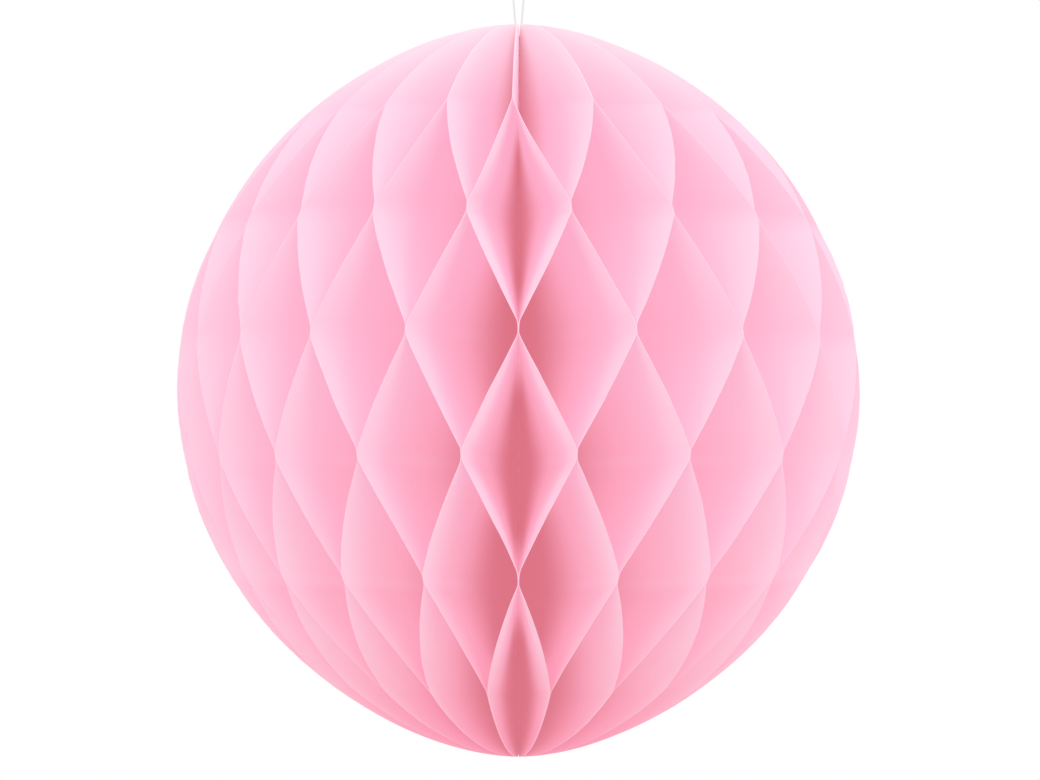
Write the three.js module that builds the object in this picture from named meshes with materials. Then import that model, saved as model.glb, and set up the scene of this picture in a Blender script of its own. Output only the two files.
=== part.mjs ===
// Honeycomb paper ball. Half-disc leaves of pink tissue stand round an upright spine, and each is glued
// to its two neighbours on alternate level rows, so the opened leaves zigzag and leave diamond cells.
// The first and the last leaf meet at the seam in front. A white thread loop hangs the ball from its top.
// Millimetres, +Z up along the spine, origin at the middle of the ball, seam facing -Y.

import * as THREE from 'three';

// Outline of the ball
const BALL_HEIGHT = 200; // from pole to pole
const BALL_WIDTH = 186.2; // across the leaf rims, half way up
const RIM_EXPONENT = 0.575; // 0.5 makes the rim an ellipse, and more draws its poles in

// Tissue leaves
const LEAF_PAIRS = 20; // leaves come in twos, so that the glue rows can take turns
const PAPER_THICKNESS = 0.15;
const GLUE_FILM = 0.1; // between two leaves where they are glued
const LEAF_TIP = 0.8; // width of a leaf at each pole, where its rim meets its inner edge
const SPREAD_SKEW = THREE.MathUtils.degToRad(8.9); // leaves stand closer on the left of the seam

// Glue rows, as heights on the rim
const ROW_PITCH = 30.9;
const ROW_SHIFT = -3.7; // of the rows' middle from the ball's middle
const GLUE_STRIPE = 3; // height of a glued stripe

// Spine that the leaves' straight edges are bound to
const SPINE_CLEARANCE = 0.3; // to the leaves' inner edges, and to the thread's ends
const SPINE_SETBACK = 3; // of its ends from the poles

// Thread loop: one strand's points from the spine to the top of the loop, as distance from the axis and
// height above the spine's end. The other strand mirrors them.
const THREAD_DIAMETER = 0.6;
const STRAND_POINTS = [
  [0.6, SPINE_CLEARANCE],
  [0.8, 3],
  [1.06, 6.3],
  [1.37, 9.8],
  [1.65, 13.3],
  [1.95, 17],
  [2.25, 20.8],
  [2.52, 24.4],
  [2.66, 27.2],
  [2.4, 29.8],
  [1.45, 31.8],
];
const LOOP_TOP = 32.5;

// Facets
const STRIP_STEPS = 4; // of a leaf's rim between two glued stripes
const POLAR_STEPS = 4; // of a leaf's rim from the last stripe to a pole
const SPINE_SIDES = 16;
const THREAD_SIDES = 8;
const THREAD_STEPS = 36;

const POLE_HEIGHT = BALL_HEIGHT / 2;
const EQUATOR_RADIUS = BALL_WIDTH / 2;
const LEAF_COUNT = 2 * LEAF_PAIRS;
const EVEN_STEP = (2 * Math.PI) / LEAF_COUNT;

// Planes between neighbouring leaves, as angles from the seam round by the right.
const planes = Array.from({ length: LEAF_COUNT + 1 }, (_, index) => {
  const even = index * EVEN_STEP;
  return even + SPREAD_SKEW * (1 - Math.cos(even));
});

// The closest leaves touch each other at the inner edge, and that sets its radius.
const closestStep = Math.min(...planes.slice(1).map((plane, index) => plane - planes[index]));
const leafReach = (PAPER_THICKNESS + GLUE_FILM) / 2; // of a leaf's middle from the plane it is glued on
const innerRadius = leafReach / Math.sin(closestStep / 2);
const spineEnd = POLE_HEIGHT - SPINE_SETBACK;

// Tissue doesn't stretch, so the rows lie further apart where the leaf zigzags less, towards the spine.
const flatPitch = Math.hypot(ROW_PITCH, EQUATOR_RADIUS * EVEN_STEP);
const rowPitchAt = (radius) => Math.sqrt(flatPitch ** 2 - (radius * EVEN_STEP) ** 2);

const rimRadius = (height) => EQUATOR_RADIUS * (1 - (height / POLE_HEIGHT) ** 2) ** RIM_EXPONENT;

// Height at which the rim has drawn in to the width of a leaf's tip.
const tipShare = (innerRadius + LEAF_TIP) / EQUATOR_RADIUS;
const tipHeight = POLE_HEIGHT * Math.sqrt(1 - tipShare ** (1 / RIM_EXPONENT));

// Glue rows from the lowest up. Rows of even number hold the seam and every other plane, and the rest
// hold the planes between.
const rowHeight = (number) => ROW_SHIFT + (number + 0.5) * ROW_PITCH;
const furthestRow = Math.ceil(BALL_HEIGHT / ROW_PITCH);
const rowNumbers = Array.from({ length: 2 * furthestRow + 1 }, (_, index) => index - furthestRow)
  .filter((number) => Math.abs(rowHeight(number)) + GLUE_STRIPE < tipHeight);
const [lowestRow, highestRow] = [rowNumbers[0], rowNumbers.at(-1)].map(rowHeight);

/**
 * Which side an even-numbered leaf leans to at a rim height: from -1 on seam rows to 1 on the others.
 * Past the last rows, nothing pulls the glued leaves apart, and they stay together up to the poles.
 */
function lean(height) {
  const inside = THREE.MathUtils.clamp(height, lowestRow, highestRow);
  const turn = Math.PI * ((inside - ROW_SHIFT) / ROW_PITCH);
  const zigzag = (-2 / Math.PI) * Math.asin(Math.sin(turn));
  return THREE.MathUtils.clamp(zigzag / (1 - GLUE_STRIPE / ROW_PITCH), -1, 1);
}

/** Heights from a to b on the rim, without a, in steps of equal latitude. */
function rimSteps(a, b, steps) {
  const latitude = [a, b].map((height) => Math.asin(height / POLE_HEIGHT));
  return Array.from({ length: steps }, (_, index) =>
    POLE_HEIGHT * Math.sin(THREE.MathUtils.lerp(...latitude, (index + 1) / steps)));
}

/** Rim heights of a leaf's cross lines, from the bottom tip to the top tip. */
function rimHeights() {
  const heights = [-tipHeight];
  for (const number of rowNumbers) {
    const stripe = rowHeight(number) - GLUE_STRIPE / 2;
    const steps = heights.length === 1 ? POLAR_STEPS : STRIP_STEPS;
    heights.push(...rimSteps(heights.at(-1), stripe, steps), stripe + GLUE_STRIPE);
  }
  heights.push(...rimSteps(heights.at(-1), tipHeight, POLAR_STEPS));
  return heights;
}

/** Turns each square of one side of a box to be split along its other diagonal. */
function turnDiagonals(geometry, { start, count }) {
  const corners = geometry.index.array;
  for (let i = start; i < start + count; i += 6) {
    const [a, b, d, , c] = corners.slice(i, i + 6);
    corners.set([a, b, c, a, c, d], i);
  }
}

/**
 * One leaf, as a thin box folded into the wedge between two planes. It is glued flat against the left
 * plane on some rows and against the right plane on the others, and each line across it is straight.
 */
function leafGeometry(index, heights) {
  const middle = (planes[index] + planes[index + 1]) / 2;
  const halfWedge = (planes[index + 1] - planes[index]) / 2;
  const direction = index % 2 === 0 ? 1 : -1;
  const lines = heights.length - 1;
  const geometry = new THREE.BoxGeometry(1, 1, 1, 1, lines, 1);
  // The leaf's faces, the box's last two sides, split alike, and its neighbours are its mirror image.
  const [front, back] = geometry.groups.slice(-2);
  turnDiagonals(geometry, index % 2 === 0 ? back : front);
  const points = geometry.attributes.position;
  for (let i = 0; i < points.count; i += 1) {
    const rimHeight = heights[Math.round((points.getY(i) + 0.5) * lines)];
    const rim = rimRadius(rimHeight);
    const radius = THREE.MathUtils.lerp(innerRadius, rim, points.getX(i) + 0.5);
    const height = (rimHeight * rowPitchAt(radius)) / rowPitchAt(rim);
    const side = direction * lean(rimHeight);
    const angle = middle + side * (halfWedge - Math.asin(leafReach / radius));
    const offset = -points.getZ(i) * PAPER_THICKNESS;
    const x = radius * Math.sin(angle) + offset * Math.cos(angle);
    const y = -radius * Math.cos(angle) + offset * Math.sin(angle);
    points.setXYZ(i, x, y, height);
  }
  geometry.computeVertexNormals();
  return geometry;
}

/** Round core of stitching and glue that the leaves' straight edges are bound to. */
function spineGeometry() {
  const radius = innerRadius - SPINE_CLEARANCE;
  return new THREE.CylinderGeometry(radius, radius, 2 * spineEnd, SPINE_SIDES).rotateX(Math.PI / 2);
}

/** Thread from the spine's top end, up through the loop and back down. */
function loopGeometry() {
  const right = STRAND_POINTS.map(([x, z]) => new THREE.Vector3(x, 0, spineEnd + z));
  const left = STRAND_POINTS.map(([x, z]) => new THREE.Vector3(-x, 0, spineEnd + z)).reverse();
  const top = new THREE.Vector3(0, 0, spineEnd + LOOP_TOP);
  const section = new THREE.Shape().absarc(0, 0, THREAD_DIAMETER / 2, 0, 2 * Math.PI);
  return new THREE.ExtrudeGeometry(section, {
    curveSegments: THREAD_SIDES / 2,
    steps: THREAD_STEPS,
    extrudePath: new THREE.CatmullRomCurve3([...right, top, ...left]),
  });
}

const tissue = new THREE.MeshStandardMaterial({ color: 0xfdb4cc, roughness: 0.9, metalness: 0 });
const binding = new THREE.MeshStandardMaterial({ color: 0xf3c9d6, roughness: 0.8, metalness: 0 });
const cotton = new THREE.MeshStandardMaterial({ color: 0xf4f1ef, roughness: 0.85, metalness: 0 });

/** Adds a named piece to the ball. */
function add(group, name, geometry, material) {
  const piece = new THREE.Mesh(geometry, material);
  piece.name = name;
  group.add(piece);
}

const ball = new THREE.Group();
const heights = rimHeights();
for (let index = 0; index < LEAF_COUNT; index += 1) {
  const number = String(index + 1).padStart(2, '0');
  add(ball, `tissue_leaf_${number}`, leafGeometry(index, heights), tissue);
}
add(ball, 'spine_binding', spineGeometry(), binding);
add(ball, 'hanging_loop', loopGeometry(), cotton);

export default ball;
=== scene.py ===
"""Honeycomb paper ball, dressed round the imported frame.

Half-disc leaves of pink tissue stand round an upright spine. Each is glued to its two neighbours on
alternate level rows, so the opened leaves zigzag and leave diamond cells. A white thread loops up from
the top pole. Metres, +Z up along the spine, origin at the middle of the ball, seam facing -Y.
"""

import logging
import math
from dataclasses import dataclass
from enum import Enum
from functools import partial

import bpy
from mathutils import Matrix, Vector
from mathutils.geometry import interpolate_bezier


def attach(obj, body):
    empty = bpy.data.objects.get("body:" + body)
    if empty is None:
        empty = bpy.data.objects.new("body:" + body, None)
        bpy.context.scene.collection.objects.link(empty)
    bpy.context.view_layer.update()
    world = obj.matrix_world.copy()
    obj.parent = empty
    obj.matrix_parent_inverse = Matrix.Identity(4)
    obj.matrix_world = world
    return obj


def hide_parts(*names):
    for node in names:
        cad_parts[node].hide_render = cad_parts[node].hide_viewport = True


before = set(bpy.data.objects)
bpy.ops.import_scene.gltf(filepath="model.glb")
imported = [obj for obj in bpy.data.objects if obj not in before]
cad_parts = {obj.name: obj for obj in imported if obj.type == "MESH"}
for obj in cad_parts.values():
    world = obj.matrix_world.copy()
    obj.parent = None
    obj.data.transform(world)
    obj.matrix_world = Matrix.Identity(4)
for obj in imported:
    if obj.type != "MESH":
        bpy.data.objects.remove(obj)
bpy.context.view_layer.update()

LOG = logging.getLogger("honeycomb_paper_ball")
BODY = "root"
MM = 0.001
WHITE = "#FFFFFF"
MATH = "ShaderNodeMath"
RANGE = "ShaderNodeMapRange"
# A mix node has sockets for every kind of data, and these are the places of those for colours.
FIRST, SECOND, MIXED = 6, 7, 2
# A wave texture repeats each time its scaled coordinate grows by this.
WAVE_LENGTH = 2 * math.pi / 20
SOCKET_KINDS = {
    int: "NodeSocketInt",
    float: "NodeSocketFloat",
    bpy.types.Material: "NodeSocketMaterial",
}


def linear(hex_colour: str) -> tuple[float, float, float, float]:
    """Turn an sRGB colour into the linear one that nodes take.

    Args:
        hex_colour: a # and six hex digits.

    Returns:
        Linear red, green and blue, and an alpha of 1.
    """
    shares = [int(hex_colour[place : place + 2], 16) / 255 for place in (1, 3, 5)]
    red, green, blue = (
        share / 12.92 if share <= 0.04045 else ((share + 0.055) / 1.055) ** 2.4 for share in shares
    )
    return red, green, blue, 1.0


def add_node(
    tree: bpy.types.NodeTree, kind: str, feeds: dict | None = None, **settings: object
) -> bpy.types.Node:
    """Add a node with its settings, and feed its inputs.

    Args:
        tree: node tree that takes the node.
        kind: type of the node.
        feeds: for an input's name or place, a value, an output, or a node whose first output is meant.
        settings: values of the node's own properties.

    Returns:
        The new node.
    """
    node = tree.nodes.new(kind)
    for name, value in settings.items():
        setattr(node, name, value)
    for key, feed in (feeds or {}).items():
        source = feed.outputs[0] if isinstance(feed, bpy.types.Node) else feed
        if isinstance(source, bpy.types.NodeSocket):
            tree.links.new(source, node.inputs[key])
        else:
            node.inputs[key].default_value = source
    return node


def new_material(name: str) -> bpy.types.Material:
    """Make a material whose node tree is still empty.

    Args:
        name: name of the material.

    Returns:
        The new material.
    """
    material = bpy.data.materials.new(name)
    material.use_nodes = True
    material.node_tree.nodes.clear()
    return material


def seen_part(add: partial) -> bpy.types.Node:
    """Tell rays that see the background, also in gloss or glass, from those that light the ball.

    Args:
        add: adds a node to the tree.

    Returns:
        Node with 1 for a ray that sees, and 0 for one that lights.
    """
    ray = add("ShaderNodeLightPath").outputs
    mirrored = add(
        MATH, {0: ray["Is Glossy Ray"], 1: ray["Is Transmission Ray"]}, operation="MAXIMUM"
    )
    return add(MATH, {0: ray["Is Camera Ray"], 1: mirrored}, operation="MAXIMUM")


def new_shape_tree(name: str, sizes: dict[str, object]) -> bpy.types.NodeTree:
    """Make a geometry tree with named inputs and one output, and no nodes yet.

    Args:
        name: name of the tree.
        sizes: a value for each input, by the input's name.

    Returns:
        The new tree, whose first input is the mesh that it starts from.
    """
    tree = bpy.data.node_groups.new(name, "GeometryNodeTree")
    tree.interface.new_socket("Start", in_out="INPUT", socket_type="NodeSocketGeometry")
    for size, value in sizes.items():
        kind = next(kind for sort, kind in SOCKET_KINDS.items() if isinstance(value, sort))
        tree.interface.new_socket(size, in_out="INPUT", socket_type=kind)
    tree.interface.new_socket("Geometry", in_out="OUTPUT", socket_type="NodeSocketGeometry")
    return tree


def finish_shape(add: partial, shape: bpy.types.Node, material: bpy.types.NodeSocket) -> None:
    """End a geometry tree: shade its shape smooth, make it one real mesh and dress it.

    Args:
        add: adds a node to the tree.
        shape: node with the shape.
        material: the tree's input for the material.
    """
    smooth = add("GeometryNodeSetShadeSmooth", {"Geometry": shape, "Shade Smooth": True})
    real = add("GeometryNodeRealizeInstances", {"Geometry": smooth})
    dressed = add("GeometryNodeSetMaterial", {"Geometry": real, "Material": material})
    add("NodeGroupOutput", {"Geometry": dressed})


def grow_piece(
    name: str, start: bpy.types.Mesh, tree: bpy.types.NodeTree, sizes: dict[str, object]
) -> bpy.types.Object:
    """Run a geometry tree once and keep what it makes as a piece with a plain mesh.

    Args:
        name: name of the piece.
        start: mesh that the tree starts from.
        tree: geometry tree to run.
        sizes: values of the tree's inputs, by name.

    Returns:
        The new piece, at the origin, with no modifier.
    """
    piece = bpy.data.objects.new(name, start)
    modifier = piece.modifiers.new(tree.name, "NODES")
    modifier.node_group = tree
    for socket in tree.interface.items_tree:
        if socket.in_out == "INPUT" and socket.name in sizes:
            modifier[socket.identifier] = sizes[socket.name]
    bpy.context.scene.collection.objects.link(piece)
    depsgraph = bpy.context.evaluated_depsgraph_get()
    mesh = bpy.data.meshes.new_from_object(
        piece.evaluated_get(depsgraph), preserve_all_data_layers=True, depsgraph=depsgraph
    )
    piece.modifiers.remove(modifier)
    piece.data = mesh
    mesh.name = name
    bpy.data.meshes.remove(start)
    return piece


@dataclass(frozen=True)
class TissuePaper:
    """Tissue paper, dyed in the pulp and glazed on neither side.

    It is matt, with faint clouds of thicker pulp and a fine crinkle. Its colour holds painted light,
    paler on its outer part, most of all at the top and along the cut rim, and painted shade, deeper
    pink at the bottom and duller deep in the open cells towards the spine.
    """

    name: str = "pink_tissue_paper"
    dye: str = "#FFC8DA"
    thin_dye: str = "#FFCEDE"
    painted_light_dye: str = "#FFD1E3"
    glue_dye: str = "#FFD3E2"
    bottom_shade_dye: str = "#FFAFC6"
    deep_shade_dye: str = "#EEACB9"
    rim_light_dye: str = "#FFD5E6"
    top_light_dye: str = "#FFE4EE"
    rough: float = 0.95
    smooth: float = 0.8
    gloss: float = 0.2
    cloud: float = 6 * MM
    cloud_detail: float = 3.0
    fibre: float = 0.9 * MM  # clumps of fibres, each of them far finer
    fibre_detail: float = 2.0
    crinkle: float = 0.05 * MM
    crinkle_strength: float = 0.5
    # Painted light: paler over the leaf's outer part, reaching further in towards the top.
    painted_light_start: float = 46 * MM  # from the rim, half way up
    painted_light_through: float = 11 * MM
    painted_light_rise: float = 0.48  # deeper for each unit of height
    # Painted shade: deeper pink towards the bottom.
    bottom_shade_start: float = -62 * MM  # height on the rim, as the next three are
    bottom_shade_through: float = -102 * MM
    # Painted light: paler at the top.
    top_start: float = 65 * MM
    top_through: float = 105 * MM
    # Painted shade: duller deep towards the spine, in the open part of the cells, more so lower down.
    deep_shade_start: float = 0.63  # as a share of the leaf's width from the axis, half way up
    deep_shade_through: float = 0.15
    deep_shade_rise: float = 2.6  # less of the width for each metre of height
    # Painted light along the rim, in a band that is wider where a cell is open and towards the top.
    rim_band: float = 17 * MM  # from the rim, half way up, where a cell is widest
    rim_hold: float = 6 * MM
    rim_rise: float = 0.15  # deeper for each unit of height
    shut: float = 0.08  # share of its full width at which a cell starts to take the painted shade
    wide: float = 0.5  # and at which it takes all of it
    glue_share: float = 0.6  # of the glue's own colour, on its rows

    def build(self) -> bpy.types.Material:
        """Make the material.

        Returns:
            The material, which reads the leaf's attributes paper, rim_gap, glue and open.
        """
        material = new_material(self.name)
        add = partial(add_node, material.node_tree)
        sheet = add("ShaderNodeAttribute", attribute_name="paper").outputs["Vector"]
        cloud, fibre = (
            add("ShaderNodeTexNoise", {"Vector": sheet, "Scale": 1 / grain, "Detail": detail})
            for grain, detail in ((self.cloud, self.cloud_detail), (self.fibre, self.fibre_detail))
        )
        rim_gap, glue, opening = (
            add("ShaderNodeAttribute", attribute_name=name).outputs["Fac"]
            for name in ("rim_gap", "glue", "open")
        )
        # Glue makes the paper a little paler on its rows.
        glue_part = add(MATH, {0: glue, 1: self.glue_share}, operation="MULTIPLY")
        radius, height, _ = add("ShaderNodeSeparateXYZ", {0: sheet}).outputs
        # Depths of the painted light on the outer part and along the rim, further in towards the top.
        painted_light_depth, rim_depth = (
            add(MATH, {0: height, 1: -rise, 2: rim_gap}, operation="MULTIPLY_ADD")
            for rise in (self.painted_light_rise, self.rim_rise)
        )
        # The painted light along the rim reaches further in where a cell is open.
        clear_depth = add(MATH, {0: rim_depth, 1: opening}, operation="DIVIDE")
        # Share of the leaf's width from the axis, for the painted shade towards the spine.
        width = add(MATH, {0: radius, 1: rim_gap})
        share = add(MATH, {0: radius, 1: width}, operation="DIVIDE")
        deep_shade_depth = add(MATH, {0: height, 1: self.deep_shade_rise, 2: share}, operation="MULTIPLY_ADD")
        # Masks of the painted light and painted shade, and of how open a cell is.
        whitened, bottom_shade, deep_shade, apart, at_rim, on_top = (
            add(
                RANGE,
                {"Value": place, "From Min": start, "From Max": end},
                interpolation_type="SMOOTHSTEP",
            )
            for place, start, end in (
                (painted_light_depth, self.painted_light_start, self.painted_light_through),
                (height, self.bottom_shade_start, self.bottom_shade_through),
                (deep_shade_depth, self.deep_shade_start, self.deep_shade_through),
                (opening, self.shut, self.wide),
                (clear_depth, self.rim_band, self.rim_hold),
                (height, self.top_start, self.top_through),
            )
        )
        # Painted shade deep in the cells: none where a cell closes, all of it where it is open.
        deep_shade_part = add(MATH, {0: deep_shade, 1: apart}, operation="MULTIPLY")
        # Clouds and glue rows are the paper's own; the rest is painted light and painted shade.
        colour = linear(self.dye)
        for part, dye in (
            (cloud, self.thin_dye),
            (glue_part, self.glue_dye),
            (whitened, self.painted_light_dye),
            (bottom_shade, self.bottom_shade_dye),
            (at_rim, self.rim_light_dye),
            (on_top, self.top_light_dye),
            (deep_shade_part, self.deep_shade_dye),
        ):
            colour = add(
                "ShaderNodeMix",
                {"Factor": part, FIRST: colour, SECOND: linear(dye)},
                data_type="RGBA",
            ).outputs[MIXED]
        roughness = add(RANGE, {"Value": cloud, "To Min": self.smooth, "To Max": self.rough})
        bump = add(
            "ShaderNodeBump",
            {"Height": fibre, "Distance": self.crinkle, "Strength": self.crinkle_strength},
        )
        paper = add(
            "ShaderNodeBsdfPrincipled",
            {
                "Base Color": colour,
                "Roughness": roughness,
                "Specular IOR Level": self.gloss,
                "Normal": bump,
            },
        )
        add("ShaderNodeOutputMaterial", {"Surface": paper})
        return material


@dataclass(frozen=True)
class CottonThread:
    """Bleached cotton sewing thread, twisted from plies: white, matt and slightly hairy."""

    name: str = "white_cotton_thread"
    whitened: str = "#EFF0F0"
    shaded: str = "#DFE0E0"
    roughness: float = 0.85
    sheen: float = 0.25
    fibre: float = 0.12 * MM  # tufts of fibres, each of them far finer
    fibre_detail: float = 3.0
    fuzz: float = 0.03 * MM
    fuzz_strength: float = 0.6

    def build(self) -> bpy.types.Material:
        """Make the material.

        Returns:
            The material, on Object coordinates.
        """
        material = new_material(self.name)
        add = partial(add_node, material.node_tree)
        place = add("ShaderNodeTexCoord").outputs["Object"]
        fibre = add(
            "ShaderNodeTexNoise",
            {"Vector": place, "Scale": 1 / self.fibre, "Detail": self.fibre_detail},
        )
        colour = add(
            "ShaderNodeMix",
            {"Factor": fibre, FIRST: linear(self.whitened), SECOND: linear(self.shaded)},
            data_type="RGBA",
        ).outputs[MIXED]
        bump = add(
            "ShaderNodeBump",
            {"Height": fibre, "Distance": self.fuzz, "Strength": self.fuzz_strength},
        )
        cotton = add(
            "ShaderNodeBsdfPrincipled",
            {
                "Base Color": colour,
                "Roughness": self.roughness,
                "Sheen Weight": self.sheen,
                "Normal": bump,
            },
        )
        add("ShaderNodeOutputMaterial", {"Surface": cotton})
        return material


@dataclass(frozen=True)
class BoundEdges:
    """Tissue edges pressed, stitched and glued together: dull rose, ridged across by the stitches."""

    name: str = "glued_tissue_spine"
    glued: str = "#EAAAB9"
    stitch: str = "#F0B9C6"
    roughness: float = 0.7
    stitch_pitch: float = 4 * MM
    stitch_waver: float = 0.4
    grain: float = 0.8 * MM
    grain_detail: float = 2.0
    ridge: float = 0.15 * MM
    ridge_strength: float = 0.7

    def build(self) -> bpy.types.Material:
        """Make the material.

        Returns:
            The material, on Object coordinates.
        """
        material = new_material(self.name)
        add = partial(add_node, material.node_tree)
        place = add("ShaderNodeTexCoord").outputs["Object"]
        stitches = add(
            "ShaderNodeTexWave",
            {
                "Vector": place,
                "Scale": WAVE_LENGTH / self.stitch_pitch,
                "Distortion": self.stitch_waver,
            },
            bands_direction="Z",
        )
        grain = add(
            "ShaderNodeTexNoise",
            {"Vector": place, "Scale": 1 / self.grain, "Detail": self.grain_detail},
        )
        raised = add(MATH, {0: stitches.outputs["Fac"], 1: grain}, operation="MULTIPLY")
        colour = add(
            "ShaderNodeMix",
            {"Factor": raised, FIRST: linear(self.glued), SECOND: linear(self.stitch)},
            data_type="RGBA",
        ).outputs[MIXED]
        bump = add(
            "ShaderNodeBump",
            {"Height": raised, "Distance": self.ridge, "Strength": self.ridge_strength},
        )
        spine = add(
            "ShaderNodeBsdfPrincipled",
            {"Base Color": colour, "Roughness": self.roughness, "Normal": bump},
        )
        add("ShaderNodeOutputMaterial", {"Surface": spine})
        return material


@dataclass(frozen=True)
class StudioFloor:
    """Matt white studio floor. It takes shadow under the ball and is plain white further off."""

    name: str = "matt_white_floor"
    paint: str = "#F4F3F2"
    shadow_edge: float = 0.25  # distance from the origin in metres
    white_edge: float = 1.2

    def build(self) -> bpy.types.Material:
        """Make the material.

        Returns:
            The material, which is seen only from above.
        """
        material = new_material(self.name)
        add = partial(add_node, material.node_tree)
        place = add("ShaderNodeTexCoord").outputs["Object"]
        far = add("ShaderNodeVectorMath", {0: place}, operation="LENGTH").outputs["Value"]
        fade = add(
            RANGE,
            {"Value": far, "From Min": self.shadow_edge, "From Max": self.white_edge},
            interpolation_type="SMOOTHSTEP",
        )
        white_part = add(MATH, {0: fade, 1: seen_part(add)}, operation="MULTIPLY")
        matt = add("ShaderNodeBsdfDiffuse", {"Color": linear(self.paint)})
        white = add("ShaderNodeEmission", {"Color": linear(WHITE), "Strength": 1.0})
        top = add("ShaderNodeMixShader", {0: white_part, 1: matt, 2: white})
        clear = add("ShaderNodeBsdfTransparent")
        below = add("ShaderNodeNewGeometry").outputs["Backfacing"]
        both = add("ShaderNodeMixShader", {0: below, 1: top, 2: clear})
        add("ShaderNodeOutputMaterial", {"Surface": both})
        return material


class SeamRowSide(Enum):
    """Which of its two planes a leaf is glued to on the seam's rows, as the sign of its zigzag."""

    PREVIOUS_PLANE = 1.0
    NEXT_PLANE = -1.0


@dataclass(frozen=True)
class BallForm:
    """Outline of the ball and places of its glue rows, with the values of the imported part."""

    pole_height: float = 100 * MM
    equator: float = 93.1 * MM
    rim_exponent: float = 0.575  # 0.5 makes the rim an ellipse, and more draws its poles in
    leaf_count: int = 40
    paper: float = 0.15 * MM
    glue_film: float = 0.1 * MM
    leaf_tip: float = 0.8 * MM
    spread_skew: float = math.radians(8.9)  # leaves stand closer on the left of the seam
    row_pitch: float = 30.9 * MM
    row_shift: float = -3.7 * MM  # of the rows' middle from the ball's middle
    glue_stripe: float = 3 * MM  # height of a glued stripe
    spine_setback: float = 3 * MM  # of its ends from the poles

    @property
    def even_step(self) -> float:
        """Angle of one leaf if all stood alike."""
        return 2 * math.pi / self.leaf_count

    def plane(self, index: int) -> float:
        """Angle of the plane before a leaf, from the seam round by the right."""
        even = index * self.even_step
        return even + self.spread_skew * (1 - math.cos(even))

    @property
    def inner_radius(self) -> float:
        """Radius at which the closest leaves touch each other."""
        closest = min(self.plane(index + 1) - self.plane(index) for index in range(self.leaf_count))
        return (self.paper + self.glue_film) / 2 / math.sin(closest / 2)

    @property
    def flat_pitch(self) -> float:
        """Distance between glue rows on the flat sheet."""
        return math.hypot(self.row_pitch, self.equator * self.even_step)

    @property
    def tip_latitude(self) -> float:
        """Latitude at which the rim has drawn in to the width of a leaf's tip."""
        share = (self.inner_radius + self.leaf_tip) / self.equator
        return math.acos(share ** (0.5 / self.rim_exponent))

    def last_row(self, way: int) -> float:
        """Find the last glue row before a pole.

        Args:
            way: 1 for the way up, and -1 for the way down.

        Returns:
            Height of the row on the rim.
        """
        row = self.row_shift + self.row_pitch / 2
        while abs(row + way * self.row_pitch) + self.glue_stripe < self.pole_height:
            row += way * self.row_pitch
        return row

    @property
    def spine_end(self) -> float:
        """Height of the spine's top end."""
        return self.pole_height - self.spine_setback


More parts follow.
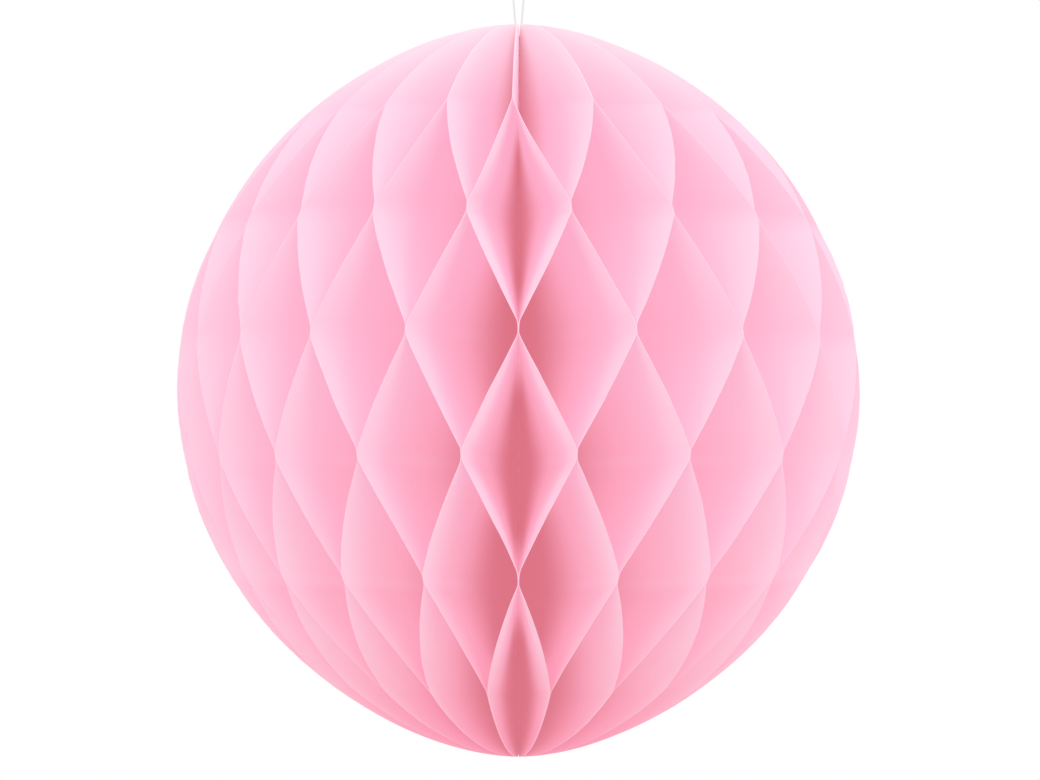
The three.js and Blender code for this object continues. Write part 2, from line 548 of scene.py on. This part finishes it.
@dataclass(frozen=True)
class FoldRule:
    """The rule that folds a leaf, as nodes of a geometry tree whose inputs are the leaf's sizes."""

    add: partial  # adds a node to the tree
    size: bpy.types.bpy_prop_collection  # the tree's inputs

    def build(self) -> None:
        """Add the nodes, from a thin flat box to the folded and dressed leaf."""
        add, size = self.add, self.size
        # X of the box runs from the spine to the rim, Y through the paper and Z up the rim.
        box = add(
            "GeometryNodeMeshCube",
            {"Vertices X": size["Columns"], "Vertices Y": 2, "Vertices Z": size["Lines"]},
        )
        flat = add("ShaderNodeSeparateXYZ", {0: add("GeometryNodeInputPosition")}).outputs
        back = add(MATH, {0: 0.5, 1: flat["X"]}, operation="SUBTRACT")
        crowded = add(MATH, {0: back, 1: size["Crowding"]}, operation="POWER")
        across = add(MATH, {0: 1.0, 1: crowded}, operation="SUBTRACT")
        latitude = add(MATH, {0: flat["Z"], 1: size["Rim Span"]}, operation="MULTIPLY")
        sine, cosine = (add(MATH, {0: latitude}, operation=name) for name in ("SINE", "COSINE"))
        rim_height = add(MATH, {0: sine, 1: size["Pole Height"]}, operation="MULTIPLY")
        narrowing = add(MATH, {0: cosine, 1: size["Rim Power"]}, operation="POWER")
        rim = add(MATH, {0: narrowing, 1: size["Equator"]}, operation="MULTIPLY")
        width = add(MATH, {0: rim, 1: size["Inner Radius"]}, operation="SUBTRACT")
        even = add(MATH, {0: across, 1: width, 2: size["Inner Radius"]}, operation="MULTIPLY_ADD")
        radius = self.frayed_radius(even, across, rim_height)
        rim_gap = add(MATH, {0: rim, 1: radius}, operation="SUBTRACT")
        height = self.fanned_height(rim_height, radius, rim)
        sheet = add("ShaderNodeCombineXYZ", {"X": radius, "Y": rim_height, "Z": size["Seed"]})
        zigzag = self.zigzag(rim_height)
        lean = self.lean(zigzag, sheet)
        upright = self.wedge_angle(lean, radius, rim_height)
        flared = self.flared_angle(upright, lean, rim_gap)
        angle = self.swept_angle(flared, rim_gap)
        # What the paper's finish reads, stored while the points are still on the flat box
        glue = add(
            RANGE,
            {
                "Value": add(MATH, {0: zigzag}, operation="ABSOLUTE"),
                "From Min": size["Glue Edge"],
                "From Max": size["Glue Full"],
            },
            interpolation_type="SMOOTHSTEP",
        )
        shut = add(MATH, {0: flat["Y"], 1: lean}, operation="MULTIPLY")
        opening = add(MATH, {0: 0.5, 1: shut}, operation="SUBTRACT")
        leaf = box
        for name, kind, value in (
            ("paper", "FLOAT_VECTOR", sheet),
            ("rim_gap", "FLOAT", rim_gap),
            ("glue", "FLOAT", glue),
            ("open", "FLOAT", opening),
        ):
            leaf = add(
                "GeometryNodeStoreNamedAttribute",
                {"Geometry": leaf, "Name": name, "Value": value},
                data_type=kind,
            )
        # Turn each point of the box to its place round the spine.
        offset = add(MATH, {0: flat["Y"], 1: size["Paper"]}, operation="MULTIPLY")
        spread = add("ShaderNodeCombineXYZ", {"X": radius, "Y": offset, "Z": height})
        turn = add(MATH, {0: angle, 1: math.pi / 2}, operation="SUBTRACT")
        folded = add(
            "ShaderNodeVectorRotate", {"Vector": spread, "Angle": turn}, rotation_type="Z_AXIS"
        )
        leaf = add("GeometryNodeSetPosition", {"Geometry": leaf, "Position": folded})
        corner = add(
            "FunctionNodeCompare",
            {0: add("GeometryNodeInputMeshEdgeAngle"), 1: size["Sharp Angle"]},
            operation="GREATER_THAN",
        )
        edged = add(
            "GeometryNodeSetShadeSmooth",
            {"Geometry": leaf, "Selection": corner, "Shade Smooth": False},
            domain="EDGE",
        )
        finish_shape(add, edged, size["Tissue"])

    def slack(self, hold: bpy.types.Node) -> bpy.types.Node:
        """Share of a bend that is left where paper is held: all at a hold of 0, none at -1 and 1."""
        squared = self.add(MATH, {0: hold, 1: hold}, operation="MULTIPLY")
        return self.add(MATH, {0: 1.0, 1: squared}, operation="SUBTRACT")

    def frayed_radius(
        self, radius: bpy.types.Node, across: bpy.types.Node, rim_height: bpy.types.Node
    ) -> bpy.types.Node:
        """Radius of a point, cut back a little unevenly at the rim.

        Args:
            radius: radius with an even rim.
            across: share of the way from the spine to the rim.
            rim_height: height at the rim.

        Returns:
            Node with the radius.
        """
        add, size = self.add, self.size
        spot = add("ShaderNodeCombineXYZ", {"Y": rim_height, "Z": size["Seed"]})
        noise = add("ShaderNodeTexNoise", {"Vector": spot, "Scale": size["Fray Scale"]})
        at_rim = add(MATH, {0: across, 1: size["Fray Narrowing"]}, operation="POWER")
        cut = add(MATH, {0: noise, 1: at_rim}, operation="MULTIPLY")
        depth = add(MATH, {0: cut, 1: size["Fray"]}, operation="MULTIPLY")
        return add(MATH, {0: radius, 1: depth}, operation="SUBTRACT")

    def fanned_height(
        self, rim_height: bpy.types.Node, radius: bpy.types.Node, rim: bpy.types.Node
    ) -> bpy.types.Node:
        """Height of a point whose line meets the rim at a height.

        Tissue doesn't stretch, so the rows lie further apart where the leaf zigzags less.

        Args:
            rim_height: height at the rim.
            radius: radius of the point.
            rim: radius of the rim.

        Returns:
            Node with the height.
        """
        add, size = self.add, self.size
        pitches = []
        for reach in (radius, rim):
            spread = add(MATH, {0: reach, 1: size["Even Step"]}, operation="MULTIPLY")
            flat, turned = (
                add(MATH, {0: side, 1: 2.0}, operation="POWER")
                for side in (size["Flat Pitch"], spread)
            )
            drop = add(MATH, {0: flat, 1: turned}, operation="SUBTRACT")
            pitches.append(add(MATH, {0: drop}, operation="SQRT"))
        ratio = add(MATH, {0: pitches[0], 1: pitches[1]}, operation="DIVIDE")
        return add(MATH, {0: rim_height, 1: ratio}, operation="MULTIPLY")

    def zigzag(self, rim_height: bpy.types.Node) -> bpy.types.Node:
        """Straight zigzag between the glue rows, past -1 and 1 where the leaf is glued.

        Past the last rows nothing pulls the glued leaves apart, and they stay together up to the poles.

        Args:
            rim_height: height at the rim.

        Returns:
            Node with the zigzag.
        """
        size = self.size
        wave = rim_height
        for operation, operand in (
            ("MINIMUM", size["Highest Row"]),
            ("MAXIMUM", size["Lowest Row"]),
            ("SUBTRACT", size["Row Shift"]),
            ("DIVIDE", size["Row Pitch"]),
            ("MULTIPLY", math.pi),
            ("SINE", None),
            ("ARCSINE", None),
            ("MULTIPLY", size["Zigzag Gain"]),
        ):
            feeds = {0: wave} if operand is None else {0: wave, 1: operand}
            wave = self.add(MATH, feeds, operation=operation)
        return wave

    def lean(self, zigzag: bpy.types.Node, sheet: bpy.types.Node) -> bpy.types.Node:
        """Place of a point in its wedge.

        Args:
            zigzag: straight zigzag of the point's line.
            sheet: the point's place on the paper.

        Returns:
            Node with the place, from -1 on the plane before the leaf to 1 on the plane after it.
        """
        add, size = self.add, self.size
        capped = add(MATH, {0: zigzag, 1: 1.0, 2: size["Crease"]}, operation="SMOOTH_MIN")
        lean = add(MATH, {0: capped, 1: -1.0, 2: size["Crease"]}, operation="SMOOTH_MAX")
        # The paper waves a little where no glue holds it.
        noise = add(
            "ShaderNodeTexNoise",
            {"Vector": sheet, "Scale": size["Ruffle Scale"], "Detail": size["Ruffle Detail"]},
        )
        drift = add(MATH, {0: noise, 1: 0.5}, operation="SUBTRACT")
        wave = add(MATH, {0: drift, 1: size["Ruffle"]}, operation="MULTIPLY")
        waved = add(MATH, {0: wave, 1: self.slack(lean), 2: lean}, operation="MULTIPLY_ADD")
        return add(MATH, {0: waved, 1: size["Side"]}, operation="MULTIPLY")

    def wedge_angle(
        self, lean: bpy.types.Node, radius: bpy.types.Node, rim_height: bpy.types.Node
    ) -> bpy.types.Node:
        """Angle of a point round the spine, from the seam.

        Args:
            lean: place of the point in its wedge.
            radius: radius of the point.
            rim_height: height at the rim.

        Returns:
            Node with the angle.
        """
        add, size = self.add, self.size
        reach_share = add(MATH, {0: size["Reach"], 1: radius}, operation="DIVIDE")
        reach = add(MATH, {0: reach_share}, operation="ARCSINE")
        play = add(MATH, {0: size["Half Wedge"], 1: reach}, operation="SUBTRACT")
        upright = add(MATH, {0: lean, 1: play, 2: size["Middle"]}, operation="MULTIPLY_ADD")
        row_below = add(MATH, {0: size["Highest Row"], 1: size["Row Pitch"]}, operation="SUBTRACT")
        tilt = add(
            RANGE,
            {"Value": rim_height, "From Min": row_below, "From Max": size["Highest Row"]},
            interpolation_type="SMOOTHSTEP",
        )
        return add(MATH, {0: tilt, 1: size["Seam Lean"], 2: upright}, operation="MULTIPLY_ADD")

    def flared_angle(
        self, angle: bpy.types.Node, lean: bpy.types.Node, rim_gap: bpy.types.Node
    ) -> bpy.types.Node:
        """Angle of a point on a leaf whose rim flares where no glue holds it.

        Args:
            angle: angle without the flare.
            lean: place of the point in its wedge.
            rim_gap: distance of the point from the rim.

        Returns:
            Node with the angle, which is changed behind the flared rim and not at it.
        """
        add, size = self.add, self.size
        behind = add(
            RANGE,
            {"Value": rim_gap, "From Max": size["Flare Depth"]},
            interpolation_type="SMOOTHSTEP",
        )
        part = add(MATH, {0: behind, 1: self.slack(lean)}, operation="MULTIPLY")
        return add(MATH, {0: part, 1: size["Flare"], 2: angle}, operation="MULTIPLY_ADD")

    def swept_angle(self, angle: bpy.types.Node, rim_gap: bpy.types.Node) -> bpy.types.Node:
        """Angle of a point on a leaf whose rim springs back from the seam it was pulled round to.

        Rims that touch sweep alike, so what is glued stays so.

        Args:
            angle: angle without the sweep.
            rim_gap: distance of the point from the rim.

        Returns:
            Node with the angle, which is changed behind the swept rim and not at it.
        """
        add, size = self.add, self.size
        near = add(
            RANGE,
            {"Value": rim_gap, "From Max": size["Sweep Depth"], "To Min": 1.0, "To Max": 0.0},
        )
        # The sweep changes sides gradually, at the seam and at the back.
        sine = add(MATH, {0: angle}, operation="SINE")
        off_seam = add(MATH, {0: sine}, operation="ABSOLUTE")
        eased = add(MATH, {0: off_seam, 1: size["Sweep Ease"]})
        side = add(MATH, {0: sine, 1: eased}, operation="DIVIDE")
        sweep = add(MATH, {0: self.slack(near), 1: size["Sweep"]}, operation="MULTIPLY")
        back = add(MATH, {0: sweep, 1: side}, operation="MULTIPLY")
        return add(MATH, {0: angle, 1: back}, operation="SUBTRACT")


@dataclass
class LeafFan:
    """The tissue leaves. One rule folds them all, and each has its own wedge between two planes."""

    form: BallForm
    paper: TissuePaper
    columns: int = 14
    crowding: float = 2.0  # power that crowds the columns towards the rim
    lines: int = 260
    crease: float = 0.05  # rounding of the folds beside a glue row, as a share of the lean
    glue_edge: float = 0.94  # zigzag at which the glue begins to show
    glue_full: float = 1.06
    pressed_gap: float = 0.05 * MM  # between glued leaves
    ruffle: float = 0.1  # wave of the free paper, as a share of the lean
    ruffle_size: float = 16 * MM
    ruffle_detail: float = 1.0
    fray: float = 0.5 * MM  # depth to which the rim is cut unevenly
    fray_size: float = 2.5 * MM
    fray_narrowing: float = 12.0  # power that keeps the fray close to the rim
    seam_lean: float = math.radians(-1.4)  # of the closed seam above its top row
    seam_flare: float = math.radians(0.7)  # of the seam leaves' rims, away from the seam
    flare_depth: float = 4 * MM
    rim_sweep: float = math.radians(1.3)  # of every rim, away from the seam
    sweep_depth: float = 11 * MM
    sweep_ease: float = 0.15  # sine of the angle from the seam at which half the sweep is reached
    sharp_angle: float = math.radians(40)
    seed_step: float = 1.7

    def shared_sizes(self) -> dict[str, object]:
        """Gather the sizes that all leaves have in common.

        Returns:
            Values of the tree's inputs, by name.
        """
        form = self.form
        return {
            "Columns": self.columns + 1,
            "Crowding": self.crowding,
            "Lines": self.lines + 1,
            "Paper": form.paper,
            "Inner Radius": form.inner_radius,
            "Equator": form.equator,
            "Pole Height": form.pole_height,
            "Rim Power": 2 * form.rim_exponent,
            "Rim Span": 2 * form.tip_latitude,
            "Even Step": form.even_step,
            "Flat Pitch": form.flat_pitch,
            "Row Pitch": form.row_pitch,
            "Row Shift": form.row_shift,
            "Lowest Row": form.last_row(-1),
            "Highest Row": form.last_row(1),
            "Zigzag Gain": -2 / math.pi / (1 - form.glue_stripe / form.row_pitch),
            "Crease": self.crease,
            "Glue Edge": self.glue_edge,
            "Glue Full": self.glue_full,
            "Reach": (form.paper + self.pressed_gap) / 2,
            "Ruffle": self.ruffle,
            "Ruffle Scale": 1 / self.ruffle_size,
            "Ruffle Detail": self.ruffle_detail,
            "Fray": self.fray,
            "Fray Scale": 1 / self.fray_size,
            "Fray Narrowing": self.fray_narrowing,
            "Flare Depth": self.flare_depth,
            "Sweep": self.rim_sweep,
            "Sweep Depth": self.sweep_depth,
            "Sweep Ease": self.sweep_ease,
            "Sharp Angle": self.sharp_angle,
            "Tissue": self.paper.build(),
        }

    def own_sizes(self, index: int) -> dict[str, object]:
        """Gather the sizes that are one leaf's own.

        Args:
            index: number of the leaf from the seam round by the right, from 0.

        Returns:
            Values of the tree's inputs, by name.
        """
        form = self.form
        before, after = form.plane(index), form.plane(index + 1)
        side = SeamRowSide.PREVIOUS_PLANE if index % 2 == 0 else SeamRowSide.NEXT_PLANE
        at_seam = index in (0, form.leaf_count - 1)
        towards_seam = -side.value
        return {
            "Middle": (before + after) / 2,
            "Half Wedge": (after - before) / 2,
            "Side": side.value,
            "Seam Lean": self.seam_lean if at_seam else 0.0,
            "Flare": towards_seam * self.seam_flare if at_seam else 0.0,
            "Seed": index * self.seed_step,
        }

    def build(self) -> list[bpy.types.Object]:
        """Fold every leaf and put it in the place of its node.

        Returns:
            The leaves, from the seam round by the right.
        """
        shared = self.shared_sizes()
        tree = new_shape_tree("folded_leaf", shared | self.own_sizes(0))
        add = partial(add_node, tree)
        FoldRule(add, add("NodeGroupInput").outputs).build()
        leaves = []
        for index in range(self.form.leaf_count):
            number = f"{index + 1:02d}"
            start = bpy.data.meshes.new(f"flat_leaf_{number}")
            leaf = grow_piece(f"folded_leaf_{number}", start, tree, shared | self.own_sizes(index))
            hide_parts(f"tissue_leaf_{number}")
            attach(leaf, BODY)
            leaves.append(leaf)
        return leaves


@dataclass
class HangingLoop:
    """Thread from the spine's top end, up through a loop and back down, twisted from plies."""

    form: BallForm
    cotton: CottonThread
    diameter: float = 0.6 * MM
    start_gap: float = 0.3 * MM  # above the spine's end, as the loop's top is
    loop_top: float = 32.5 * MM
    length: float = 67 * MM  # from foot to foot
    plies: int = 3
    ply_radius: float = 0.15 * MM
    twist: float = 2.1 * MM  # length of thread to one turn of a ply
    point_gap: float = 0.2 * MM
    ply_sides: int = 7
    steps: int = 8  # of the smooth line between two points of the route
    handle: float = 1 / 6  # length of its handles, as a share of the way between a point's neighbours

    def route(self) -> list[Vector]:
        """Places that the thread passes, from the right strand's foot to the left one's.

        Returns:
            The points of the route.
        """
        # Distance from the axis and height above the spine's end, in millimetres
        strand = (
            (0.6, self.start_gap / MM),
            (0.8, 3.0),
            (1.06, 6.3),
            (1.37, 9.8),
            (1.65, 13.3),
            (1.95, 17.0),
            (2.25, 20.8),
            (2.52, 24.4),
            (2.66, 27.2),
            (2.4, 29.8),
            (1.45, 31.8),
        )
        foot = self.form.spine_end
        right = [Vector((x * MM, 0.0, foot + z * MM)) for x, z in strand]
        left = [Vector((-point.x, 0.0, point.z)) for point in reversed(right)]
        return [*right, Vector((0.0, 0.0, foot + self.loop_top)), *left]

    def path(self) -> list[Vector]:
        """Smooth line through the route.

        Returns:
            Points close together on the line.
        """
        route = self.route()
        ends = [2 * route[0] - route[1], *route, 2 * route[-1] - route[-2]]
        path = [route[0]]
        for before, start, end, after in zip(ends, ends[1:], ends[2:], ends[3:]):
            leave = start + self.handle * (end - before)
            arrive = end - self.handle * (after - start)
            path += interpolate_bezier(start, leave, arrive, end, self.steps + 1)[1:]
        return path

    @staticmethod
    def twist_tree(sizes: dict[str, object]) -> bpy.types.NodeTree:
        """Build the rule that twists plies round a line.

        Args:
            sizes: values of the tree's inputs.

        Returns:
            A geometry tree that turns a line of edges into a thread.
        """
        tree = new_shape_tree("twisted_thread", sizes)
        add = partial(add_node, tree)
        size = add("NodeGroupInput").outputs
        line = add("GeometryNodeMeshToCurve", {"Mesh": size["Start"]})
        even = add(
            "GeometryNodeResampleCurve", {"Curve": line, "Length": size["Point Gap"]}, mode="LENGTH"
        )
        copies = add(
            "GeometryNodeDuplicateElements",
            {"Geometry": even, "Amount": size["Plies"]},
            domain="SPLINE",
        )
        along = add("GeometryNodeSplineParameter").outputs["Length"]
        turns = add(MATH, {0: along, 1: size["Twist"]}, operation="DIVIDE")
        share = add(
            MATH, {0: copies.outputs["Duplicate Index"], 1: size["Plies"]}, operation="DIVIDE"
        )
        place = add(MATH, {0: turns, 1: share})
        angle = add(MATH, {0: place, 1: 2 * math.pi}, operation="MULTIPLY")
        tangent = add("GeometryNodeInputTangent")
        out = add(
            "ShaderNodeVectorRotate",
            {"Vector": add("GeometryNodeInputNormal"), "Axis": tangent, "Angle": angle},
        )
        shift = add("ShaderNodeVectorMath", {0: out, "Scale": size["Ply Offset"]}, operation="SCALE")
        plies = add("GeometryNodeSetPosition", {"Geometry": copies, "Offset": shift})
        section = add(
            "GeometryNodeCurvePrimitiveCircle",
            {"Resolution": size["Ply Sides"], "Radius": size["Ply Radius"]},
        )
        tubes = add(
            "GeometryNodeCurveToMesh",
            {"Curve": plies, "Profile Curve": section, "Fill Caps": True},
        )
        finish_shape(add, tubes, size["Cotton"])
        return tree

    def build(self) -> bpy.types.Object:
        """Returns:
            The thread.
        """
        path = self.path()
        line = bpy.data.meshes.new("thread_line")
        line.from_pydata(path, [(place, place + 1) for place in range(len(path) - 1)], [])
        sizes = {
            "Point Gap": self.point_gap,
            "Plies": self.plies,
            "Ply Radius": self.ply_radius,
            "Ply Offset": self.diameter / 2 - self.ply_radius,
            "Ply Sides": self.ply_sides,
            "Twist": self.twist,
            "Cotton": self.cotton.build(),
        }
        thread = grow_piece("thread_loop", line, self.twist_tree(sizes), sizes)
        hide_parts("hanging_loop")
        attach(thread, BODY)
        return thread


@dataclass
class SpineBinding:
    """The leaves' straight edges, pressed together, stitched through and glued down to their tips."""

    form: BallForm
    finish: BoundEdges
    clearance: float = 0.3 * MM  # to the leaves' inner edges
    tail: float = 2.6 * MM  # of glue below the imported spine, in the hollow between the leaf tips
    tail_share: float = 0.3  # of the spine's radius, at the tail's end
    edge_ridge: float = 0.12 * MM
    pinch: float = 0.2 * MM
    sides_per_edge: int = 4
    rings: int = 180

    @staticmethod
    def binding_tree(sizes: dict[str, object]) -> bpy.types.NodeTree:
        """Build the rule that ridges and pinches the spine.

        Args:
            sizes: values of the tree's inputs.

        Returns:
            A geometry tree that makes the spine.
        """
        tree = new_shape_tree("bound_edges", sizes)
        add = partial(add_node, tree)
        size = add("NodeGroupInput").outputs
        core = add(
            "GeometryNodeMeshCylinder",
            {"Vertices": size["Sides"], "Side Segments": size["Rings"], "Radius": 1.0, "Depth": 1.0},
        )
        place = add("ShaderNodeSeparateXYZ", {0: add("GeometryNodeInputPosition")}).outputs
        height = add(
            RANGE,
            {
                "Value": place["Z"],
                "From Min": -0.5,
                "From Max": 0.5,
                "To Min": size["Bottom"],
                "To Max": size["Top"],
            },
        )
        # Each leaf's edge is a ridge, and each stitch pulls the edges together.
        turn = add(MATH, {0: place["Y"], 1: place["X"]}, operation="ARCTAN2")
        edge = add(MATH, {0: turn, 1: size["Edges"]}, operation="MULTIPLY")
        stitch = add(MATH, {0: height, 1: size["Stitch Pitch"]}, operation="DIVIDE")
        round_stitch = add(MATH, {0: stitch, 1: 2 * math.pi}, operation="MULTIPLY")
        radius = size["Radius"]
        for wave, depth in ((edge, size["Edge Ridge"]), (round_stitch, size["Pinch"])):
            groove = add(
                RANGE,
                {"Value": add(MATH, {0: wave}, operation="COSINE"), "From Min": -1.0, "To Max": depth},
            )
            radius = add(MATH, {0: radius, 1: groove}, operation="SUBTRACT")
        tail_top = add(MATH, {0: size["Bottom"], 1: size["Tail"]})
        narrowing = add(
            RANGE,
            {
                "Value": height,
                "From Min": size["Bottom"],
                "From Max": tail_top,
                "To Min": size["Tail Share"],
            },
            interpolation_type="SMOOTHSTEP",
        )
        reach = add(MATH, {0: radius, 1: narrowing}, operation="MULTIPLY")
        x, y = (
            add(MATH, {0: place[axis], 1: reach}, operation="MULTIPLY") for axis in ("X", "Y")
        )
        bound = add("ShaderNodeCombineXYZ", {"X": x, "Y": y, "Z": height})
        spine = add("GeometryNodeSetPosition", {"Geometry": core, "Position": bound})
        finish_shape(add, spine, size["Glued Edges"])
        return tree

    def build(self) -> bpy.types.Object:
        """Bind the spine and put it in the place of its node.

        Returns:
            The spine.
        """
        form = self.form
        sizes = {
            "Edges": form.leaf_count,
            "Sides": form.leaf_count * self.sides_per_edge,
            "Rings": self.rings,
            "Radius": form.inner_radius - self.clearance,
            "Bottom": -form.spine_end - self.tail,
            "Top": form.spine_end,
            "Tail": self.tail,
            "Tail Share": self.tail_share,
            "Edge Ridge": self.edge_ridge,
            "Stitch Pitch": self.finish.stitch_pitch,
            "Pinch": self.pinch,
            "Glued Edges": self.finish.build(),
        }
        start = bpy.data.meshes.new("bare_spine")
        spine = grow_piece("bound_spine", start, self.binding_tree(sizes), sizes)
        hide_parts("spine_binding")
        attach(spine, BODY)
        return spine


@dataclass
class Studio:
    """Camera at the photograph's viewing angle, soft light from all round, and a pale floor."""

    floor: StudioFloor
    distance: float = 860 * MM
    rise: float = math.radians(-2.1)  # of the camera, seen from the ball
    aim: tuple[float, float, float] = (0.4 * MM, 0.0, -0.1 * MM)
    sensor: float = 36.0  # millimetres, as Blender's cameras have it
    lens: float = 108.8
    sky_level: float = 1.12
    ground_level: float = 0.97
    softbox_place: tuple[float, float, float] = (0.5, -0.75, 1.0)
    softbox_size: float = 1.0
    softbox_power: float = 1.5  # watts
    traced_steps: int = 2
    contact: float = 0.02 * MM  # gap below which leaves still shade each other past those steps
    floor_height: float = -300 * MM
    floor_reach: float = 6.0  # metres to each side

    def place_camera(self) -> None:
        """Set up the camera and the view transform."""
        data = bpy.data.cameras.new("camera")
        data.sensor_fit = "HORIZONTAL"
        data.sensor_width = self.sensor
        data.lens = self.lens
        camera = bpy.data.objects.new("camera", data)
        back = Vector((0.0, -math.cos(self.rise), math.sin(self.rise)))
        camera.location = Vector(self.aim) + self.distance * back
        camera.rotation_euler = (-back).to_track_quat("-Z", "Y").to_euler()
        scene = bpy.context.scene
        scene.collection.objects.link(camera)
        scene.camera = camera
        scene.view_settings.view_transform = "Standard"

    def light(self) -> None:
        """Light the ball evenly from all round, and a little more from above."""
        world = bpy.data.worlds.new("studio")
        world.use_nodes = True
        world.node_tree.nodes.clear()
        add = partial(add_node, world.node_tree)
        towards = add("ShaderNodeSeparateXYZ", {0: add("ShaderNodeTexCoord").outputs["Object"]})
        level = add(
            RANGE,
            {
                "Value": towards.outputs["Z"],
                "From Min": -1.0,
                "To Min": self.ground_level,
                "To Max": self.sky_level,
            },
        )
        strength = add(RANGE, {"Value": seen_part(add), "To Min": level, "To Max": 1.0})
        sky = add("ShaderNodeBackground", {"Color": linear(WHITE), "Strength": strength})
        add("ShaderNodeOutputWorld", {"Surface": sky})
        scene = bpy.context.scene
        scene.world = world
        # Tissue passes light from leaf to leaf, so past the traced steps the light is even, almost
        # down to where the leaves touch.
        scene.cycles.use_fast_gi = True
        scene.cycles.fast_gi_method = "REPLACE"
        scene.cycles.ao_bounces_render = self.traced_steps
        world.light_settings.distance = self.contact
        data = bpy.data.lights.new("softbox", "AREA")
        data.size = self.softbox_size
        data.energy = self.softbox_power
        softbox = bpy.data.objects.new("softbox", data)
        softbox.location = self.softbox_place
        softbox.rotation_euler = Vector(self.softbox_place).to_track_quat("Z", "Y").to_euler()
        scene.collection.objects.link(softbox)

    def lay_floor(self) -> None:
        """Lay the floor under the ball, which hangs too high for light from the floor to reach it."""
        reach, level = self.floor_reach, self.floor_height
        mesh = bpy.data.meshes.new("floor")
        corners = [(x * reach, y * reach, level) for x, y in ((-1, -1), (1, -1), (1, 1), (-1, 1))]
        mesh.from_pydata(corners, [], [(0, 1, 2, 3)])
        mesh.materials.append(self.floor.build())
        floor = bpy.data.objects.new("floor", mesh)
        floor.visible_diffuse = False
        bpy.context.scene.collection.objects.link(floor)


def main() -> None:
    """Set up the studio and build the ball's pieces."""
    logging.basicConfig(level=logging.INFO, format="%(name)s: %(message)s")
    form = BallForm()
    studio = Studio(StudioFloor())
    studio.place_camera()
    pieces = [HangingLoop(form, CottonThread()).build()]
    pieces += LeafFan(form, TissuePaper()).build()
    pieces.append(SpineBinding(form, BoundEdges()).build())
    studio.light()
    studio.lay_floor()
    for piece in pieces:
        LOG.info("%s has %d faces", piece.name, len(piece.data.polygons))


if __name__ == "__main__":
    main()
